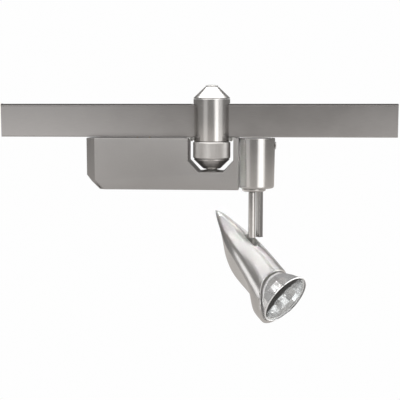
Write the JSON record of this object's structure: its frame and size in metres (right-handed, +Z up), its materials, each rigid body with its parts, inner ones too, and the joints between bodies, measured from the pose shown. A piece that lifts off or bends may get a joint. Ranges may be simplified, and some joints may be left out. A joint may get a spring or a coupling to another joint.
{
  "type": "track lighting fixture",
  "caption": "Low-voltage spotlight on a flat rail: clamp, transformer housing, swivelling stem and tilting horn-shaped head with reflector lamp.",
  "frame": {"origin": "on the rail's top line in the plane of the clamp's axis, where the rail is hung", "axes": "+X along the rail to the right, -Y towards the front where the lamp points, +Z up"},
  "size_m": [0.369, 0.0766, 0.2173],
  "materials": {
    "rail_metal": "satin anodised, fine brushing along the rail",
    "satin_nickel": "satin nickel plate, turned and softly brushed",
    "housing_paint": "metallic silver-grey paint, satin",
    "steel": "plain plated steel",
    "brass": "turned brass",
    "copper": "drawn copper",
    "black_plastic": "moulded plastic",
    "board": "glass-fibre circuit board",
    "ceramic": "unglazed white ceramic",
    "lamp_mirror": "faceted silvered glass",
    "clear_glass": "clear polished glass"
  },
  "bodies": {
    "rail": {"rail_profile": "rail_metal", "rail_insulator": "black_plastic", "conductor_live": "copper", "conductor_neutral": "copper"},
    "carriage": {"thrust_washer": "steel", "mounting_strap": "steel", "housing_shell": "housing_paint", "housing_cover": "housing_paint", "cover_screw_1": "steel", "cover_screw_2": "steel", "cover_screw_3": "steel", "contact_carrier": "black_plastic", "contact_spring_live": "steel", "contact_spring_neutral": "steel", "circuit_board": "board", "transformer_core": "steel", "transformer_winding": "copper", "capacitor": "black_plastic", "terminal_block": "black_plastic", "canopy_cup": "satin_nickel", "canopy_lid": "steel", "saddle_screw_1": "steel", "saddle_screw_2": "steel", "canopy_screw": "steel", "swivel_bush": "black_plastic"},
    "clamp": {"clamp_sleeve": "satin_nickel", "clamp_cap": "satin_nickel", "cap_button": "steel"},
    "nut": {"knurled_nut": "satin_nickel", "nut_cone": "satin_nickel"},
    "live_pin": {"contact_pin_live": "brass"},
    "neutral_pin": {"contact_pin_neutral": "brass"},
    "stem": {"swivel_disc": "satin_nickel", "hub_lock_nut": "brass", "stem_rod": "satin_nickel", "wire_tube": "satin_nickel", "pivot_lug": "steel"},
    "head": {"head_shell": "satin_nickel", "holder_plate": "steel", "pivot_bracket": "steel", "pivot_pin": "steel", "lamp_holder": "ceramic", "holder_screw_1": "steel", "holder_screw_2": "steel"},
    "lamp": {"lamp_reflector": "lamp_mirror", "lamp_front_glass": "clear_glass", "lamp_capsule": "clear_glass", "lamp_base": "ceramic", "lamp_pin_1": "steel", "lamp_pin_2": "steel"}
  },
  "joints": [
    {"name": "rail_slide", "type": "slide", "parent": "rail", "child": "carriage", "axis": [1, 0, 0], "range_m": [-0.075, 0.105]},
    {"name": "nut_turn", "type": "hinge", "parent": "carriage", "child": "nut", "pos_m": [0, 0, -0.043], "axis": [0, 0, 1], "range_deg": [0, 725]},
    {"name": "clamp_lift", "type": "slide", "parent": "carriage", "child": "clamp", "axis": [0, 0, 1], "range_m": [0, 0.003]},
    {"name": "live_pin_travel", "type": "slide", "parent": "carriage", "child": "live_pin", "axis": [0, 0, -1], "range_m": [0, 0.0015], "stiffness_N_per_m": 400, "springref_m": -0.002, "deforming": ["contact_spring_live"]},
    {"name": "neutral_pin_travel", "type": "slide", "parent": "carriage", "child": "neutral_pin", "axis": [0, 0, -1], "range_m": [0, 0.0015], "stiffness_N_per_m": 400, "springref_m": -0.002, "deforming": ["contact_spring_neutral"]},
    {"name": "stem_swivel", "type": "hinge", "parent": "carriage", "child": "stem", "pos_m": [0.0394, 0, -0.08], "axis": [0, 0, 1], "range_deg": [-170, 170]},
    {"name": "head_tilt", "type": "hinge", "parent": "stem", "child": "head", "pos_m": [0.03799, -0.00738, -0.13101], "axis": [0.6388, 0.7694, 0], "range_deg": [-40, 14]},
    {"name": "lamp_pull", "type": "slide", "parent": "head", "child": "lamp", "axis": [0.6663, -0.5532, -0.5], "range_m": [0, 0.03]}
  ],
  "couplings": [
    {"joint": "nut_turn", "follows": "clamp_lift", "rad_per_m": 4188.8}
  ]
}
